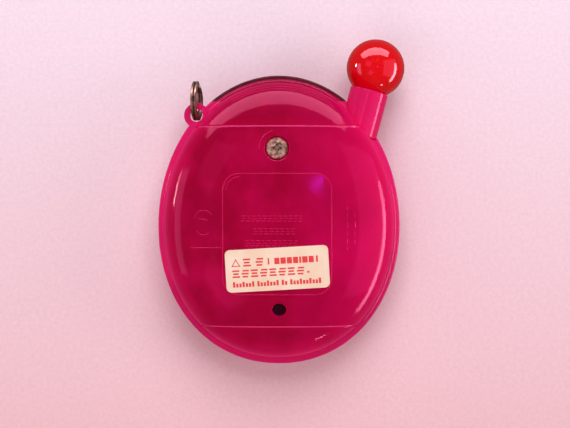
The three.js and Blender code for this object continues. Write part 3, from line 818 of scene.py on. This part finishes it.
# ---- Door screw ----
def screw(name, x, y, head_radius, shank_radius, tip, head_z, top_z):
    """A domed cross-head screw, tip down."""
    edge, dome = 0.22, 0.12
    profile = [(0, tip), (shank_radius * 0.6, tip), (shank_radius, tip + 0.5), (shank_radius, head_z)]
    profile.append((head_radius, head_z))
    profile += [
        (head_radius - edge * (1 - math.cos(a)), top_z - dome - edge * (1 - math.sin(a)))
        for a in spread(0, math.pi / 2, 4)
    ]
    profile += [(head_radius * 0.5, top_z - 0.02), (0, top_z)]
    body = lathe(name, profile, 64, Matrix.Translation((x, y, 0)))
    reach, slot = head_radius * 0.6, 0.3
    arms = []
    for turn in (0, math.pi / 2):
        wedge = []
        for z, grow in ((top_z - 1.0, 0.45), (top_z + 0.5, 1.12)):
            end = reach * grow
            for px, py in ((-end, -slot), (end, -slot), (end, slot), (-end, slot)):
                wedge.append((*turned(px, py, turn, x, y), z))
        sides = [(k, (k + 1) % 4, (k + 1) % 4 + 4, k + 4) for k in range(4)]
        arms.append(mesh_object("arm", wedge, [(0, 3, 2, 1), (4, 5, 6, 7)] + sides))
    centre = rod("arm_centre", x, y, 0.62, top_z - 1.05, top_z + 1, 24)
    return cut(body, *arms, centre)


door_screw = screw("door_screw_body", SCREW.x, SCREW.y, 2.12, 1.0, 9.95, 17.35, 18.85)
finish_piece(door_screw, worn_screw, "door_screw", "aged_steel", "door_screw")


# ---- Sticker and its greeked print ----
SHEET_LIFT, PRINT_LIFT = (0.012, 0.066), (0.068, 0.076)  # the lower and upper side of each, off the door


def sticker_point(u, v, lift):
    """A point of the sticker: u, v in millimetres from its middle, lifted off the door."""
    x, y = turned(u, v, STICKER["turn"], STICKER["x"], STICKER["y"])
    return (x, y, back_z(x, y) + lift)


def draped(name, outline, low, high, step=0.5):
    """A thin layer over a convex outline given in the sticker's u, v, following the door."""
    us, vs = [p[0] for p in outline], [p[1] for p in outline]
    rows = max(2, round((max(vs) - min(vs)) / step) + 1)
    cols = max(2, round((max(us) - min(us)) / step) + 1)

    def span(v):
        hits = []
        for (u0, v0), (u1, v1) in zip(outline, outline[1:] + outline[:1]):
            if min(v0, v1) - 1e-9 <= v <= max(v0, v1) + 1e-9:
                hits += [u0, u1] if abs(v1 - v0) < 1e-9 else [u0 + (u1 - u0) * (v - v0) / (v1 - v0)]
        return min(hits), max(hits)

    levels = sorted(set([round(v, 6) for v in vs] + spread(min(vs), max(vs), rows - 1)))
    verts = []
    for lift in (high, low):
        for v in levels:
            a, b = span(v)
            verts += [sticker_point(u, v, lift) for u in spread(a, b, cols - 1)]
    n, half = len(levels), len(levels) * cols
    faces = grid_faces(n, cols) + [tuple(half + i for i in reversed(f)) for f in grid_faces(n, cols)]
    rim = [c for c in range(cols)] + [r * cols + cols - 1 for r in range(1, n)]
    rim += [(n - 1) * cols + c for c in range(cols - 2, -1, -1)] + [r * cols for r in range(n - 2, 0, -1)]
    for a, b in zip(rim, rim[1:] + rim[:1]):
        faces.append((a, b, half + b, half + a))
    obj = mesh_object(name, verts, faces, 50)
    tidy(obj, 50)
    return obj


def sticker():
    outline = rounded_rect(0, 0, STICKER["w"], STICKER["d"], STICKER["corner"], 0, 6)
    return draped("sticker_sheet", outline, *SHEET_LIFT)


def bar(u0, u1, v0, v1):
    return draped("print", [(u0, v0), (u1, v0), (u1, v1), (u0, v1)], *PRINT_LIFT, 1.2)


def sticker_print():
    """A plain triangle, blocks and bars where a notice would be: nothing to read."""
    w, d = STICKER["w"], STICKER["d"]
    left = -w / 2 + 1.2
    marks = []
    row1, row2, row3 = 1.55, -0.6, -2.7
    for a, b in (((0, 0), (1, 0)), ((1, 0), (0.5, 0.85)), ((0.5, 0.85), (0, 0))):
        size, thick = 1.75, 0.17
        p, q = Vector(a) * size, Vector(b) * size
        n = (q - p).normalized()
        m = Vector((-n.y, n.x)) * thick
        corners = [p, q, q + m, p + m]
        marks.append(draped("print", [(left + c.x, row1 - 0.7 + c.y) for c in corners], *PRINT_LIFT, 2))

    def blocks(u, v, count, size, pitch):
        """Squares of three bars each."""
        for k in range(count):
            for j, (a, b) in enumerate(((0, 1), (0.1, 0.85), (0, 0.95), (0.15, 1))[k % 2 : k % 2 + 3]):
                y0 = v + size * (0.4 * j - 0.5)
                marks.append(bar(u + k * pitch + a * size, u + k * pitch + b * size, y0, y0 + size * 0.22))
        return u + count * pitch

    blocks(left + 2.3, row1, 2, 1.5, 2.45)
    marks.append(bar(left + 7.1, left + 7.4, row1 - 0.6, row1 + 0.65))
    u = left + 8.4
    for width in (1.0, 1.05, 1.0, 1.0, 0.4, 1.05, 1.0):
        marks.append(bar(u, u + width, row1 - 0.62, row1 + 0.62))
        u += width + 0.2
    marks.append(bar(u + 0.25, u + 0.6, row1 - 0.6, row1 + 0.65))
    end = blocks(left + 0.1, row2, 8, 1.45, 1.8)
    marks.append(bar(end + 0.2, end + 0.6, row2 - 0.5, row2 - 0.1))
    u = left + 0.1
    for letters in (7, 7, 2, 10):
        for k in range(letters):
            tall = 0.75 if k % 3 else 1.05
            marks.append(bar(u, u + 0.44, row3 - 0.5, row3 - 0.5 + tall))
            u += 0.62
        u += 0.42
    return merge("sticker_print_marks", marks)


finish_piece(sticker(), paper, "battery_door", "sticker_paper", "back_sticker")
finish_piece(sticker_print(), ink, "battery_door", "sticker_paper")

# ---- Front ----
def bezel():
    """The raised frame round the screen."""
    ring = plate("bezel_ring", dict(SCREEN, w=31.5, d=27.5, corner=8.9), 0, 2.1, 0.5)
    return cut(ring, plate("bezel_opening", dict(SCREEN, w=25, d=20, corner=4), -1, 3))


def button(name, x, y):
    profile = [(0, 0.9), (1.6, 0.93), (2.2, 1.05), (2.5, 1.3), (2.6, 1.65), (2.6, 3.6)]
    profile += [(3.2, 3.6), (3.2, 4.5), (0, 4.5)]
    return lathe(name, profile, 64, Matrix.Translation((x, y, 0)))


def rubber_dome(name, x, y):
    """A dome under a button: a flat pad on a thin skirt. The real skirt gives way when the button is pressed;
    this one keeps its shape.
    """
    profile = [(0, DOME_TOP_Z), (1.45, DOME_TOP_Z), (1.6, DOME_TOP_Z + 0.12), (1.7, 5.1), (2.1, 5.5)]
    profile += [(2.6, 5.95), (2.85, 6.15), (2.96, 6.35), (2.96, DOME_FOOT_Z), (0, DOME_FOOT_Z)]
    return lathe(name, profile, 64, Matrix.Translation((x, y, 0)))


finish_piece(bezel(), pale, "case", "pale_pink", "screen_bezel")
for side, (bx, by) in BUTTONS.items():
    cap = button(f"button_{side}_cap", bx, by)
    finish_piece(cap, button_red, f"button_{side}", "button_red", f"button_{side}")
    dome = rubber_dome(f"dome_{side}", bx, by)
    finish_piece(dome, rubber, "case", "rubber", f"rubber_dome_{side}")
    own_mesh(dome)

# ---- CAD nodes that stay take their finish here, by the record's slot ----
FINISHES = {
    "pale_pink": pale,
    "clear": lens_clear,
    "lcd_glass": lcd_glass,
    "steel": steel,
    "brass": brass,
    "board_green": board_green,
    "black": black,
    "rubber": rubber,
    "white_plastic": white,
    "red_sleeve": red_sleeve,
}
for part in frame["record"]["subparts"]:
    obj = frame["nodes"][part["node"]]
    if not obj.hide_render:
        obj.data.materials.clear()
        obj.data.materials.append(FINISHES[part["material_slot"]])

# ---- Floor, light and camera ----
def floor():
    """A pale mottled floor, a hair below the toy, with painted light: darker and pinker towards -Y."""
    mesh = bpy.data.meshes.new("floor")
    reach, level = 6.0, -0.02 * MM
    corners = [(-reach, -reach, level), (reach, -reach, level), (reach, reach, level), (-reach, reach, level)]
    mesh.from_pydata(corners, [], [(0, 1, 2, 3)])
    obj = bpy.data.objects.new("floor", mesh)
    bpy.context.scene.collection.objects.link(obj)
    mat, tree, p = new_material("pale_floor")
    coords = object_coords(tree)
    grain = noise(tree, coords, 1300.0, 6.0, 0.7)
    split = tree.nodes.new("ShaderNodeSeparateXYZ")
    tree.links.new(coords, split.inputs["Vector"])
    # painted light: the floor is coloured darker and pinker towards -Y, where less light falls
    painted_light_falloff = to_range(tree, split.outputs["Y"], 0.0, 1.0, -0.05, 0.045)
    shade = mix_colour(tree, painted_light_falloff, (0.78, 0.49, 0.53), (0.84, 0.71, 0.8))
    spots = to_range(tree, grain, 0.0, 1.0, 0.3, 0.7)
    speckle = mix_colour(tree, spots, (0.9, 0.88, 0.88), (1, 1, 1))
    tree.links.new(mix_colour(tree, 1.0, shade, speckle, "MULTIPLY"), p.inputs["Base Color"])
    p.inputs["Roughness"].default_value = 0.9
    p.inputs["Specular IOR Level"].default_value = 0.0
    bump(tree, grain, p, 0.4, 0.1 * MM)
    mesh.materials.append(mat)
    obj.visible_glossy = False


def area_light(name, place, size, power, colour=(1, 1, 1), size_y=None, shine=True, lights=True):
    """A soft light aimed at the toy. shine: it shows in gloss. lights: it lights matt surfaces."""
    data = bpy.data.lights.new(name, "AREA")
    data.energy, data.color = power, colour
    data.shape, data.size, data.size_y = "RECTANGLE", size, size_y or size
    obj = bpy.data.objects.new(name, data)
    obj.location = place
    obj.rotation_euler = (Vector((0, 0, 0.012)) - Vector(place)).to_track_quat("-Z", "Y").to_euler()
    obj.visible_glossy = shine
    obj.visible_diffuse = lights
    bpy.context.scene.collection.objects.link(obj)


def mirrored(x, y, distance):
    """Where a lamp must be for its reflection to be seen at a point of the back."""
    spot = Vector((x, y, back_z(x, y)))
    ray = (spot - EYE).normalized().reflect(back_normal(x, y))
    return ORIGIN + spot * MM + ray * distance


floor()
area_light("key", (0.05, 0.4, 0.6), 0.5, 4.2, (1.0, 0.97, 0.98), shine=False)
area_light("fill", (-0.3, -0.3, 0.7), 0.7, 2.0, (1.0, 0.94, 0.96), shine=False)
area_light("top_window", (-0.02, 0.46, 0.19), 0.95, 8.8, (1.0, 0.66, 0.9), 0.3, lights=False)
for k in range(5):  # nested, so that the reflection fades out at its edges
    size = 0.2 + 0.08 * k
    power = 6.0 * size * size
    area_light(f"right_glow_{k}", (0.4, 0.0, 0.24), size, power, (1.0, 0.35, 0.7), size, lights=False)
for k in range(3):
    tall = 0.04 + 0.03 * k
    wide, power = 0.3 + 0.1 * k, 20.0 * tall
    area_light(f"right_lamp_{k}", (0.44, -0.1, 0.06), wide, power, (1.0, 0.75, 0.95), tall, lights=False)
area_light("left_lamp", (-0.44, 0.1, 0.035), 0.1, 0.45, (1, 1, 1), 0.012, lights=False)
area_light("left_glow", (-0.44, 0.0, 0.16), 0.35, 0.6, (1.0, 0.5, 1.0), 0.14, lights=False)
area_light("right_fill", (0.55, -0.05, 0.3), 0.3, 0.9, (1.0, 0.92, 0.96), shine=False)
area_light("left_fill", (-0.55, -0.1, 0.3), 0.3, 0.4, (1.0, 0.92, 0.96), shine=False)
area_light("front_fill", (0.0, -0.55, 0.3), 0.3, 0.5, (1.0, 0.92, 0.96), shine=False)
area_light("front_lamp", (0.17, -0.4, 0.11), 0.05, 0.08, (1, 0.8, 0.9), 0.02, lights=False)
AWAY = 0.45  # how far off the lamps stand that are placed by their reflection
LILAC = (1.0, 0.16, 0.65)
area_light("violet_lamp", mirrored(7.7, 8.3, AWAY), 0.007, 0.06, (0.3, 0.03, 1.0), 0.045, lights=False)
area_light("lilac_window_low", mirrored(-11.4, -12.2, AWAY), 0.14, 0.16, LILAC, 0.16, lights=False)
area_light("lilac_window_high", mirrored(-13.0, 12.5, AWAY), 0.12, 0.16, LILAC, 0.2, lights=False)

world = bpy.data.worlds.new("studio")
world.use_nodes = True
world.node_tree.nodes["Background"].inputs["Color"].default_value = (1.0, 0.85, 0.9, 1)
world.node_tree.nodes["Background"].inputs["Strength"].default_value = 0.22
bpy.context.scene.world = world

camera_data = bpy.data.cameras.new("camera")
camera = bpy.data.objects.new("camera", camera_data)
bpy.context.scene.collection.objects.link(camera)
camera.location = ORIGIN + EYE * MM
SENSOR = 36.0
camera_data.sensor_width = SENSOR
camera_data.lens = SENSOR * (EYE.z - RIM_TOP_Z) / VIEW_WIDTH
camera_data.clip_start, camera_data.clip_end = 0.01, 20
bpy.context.scene.camera = camera
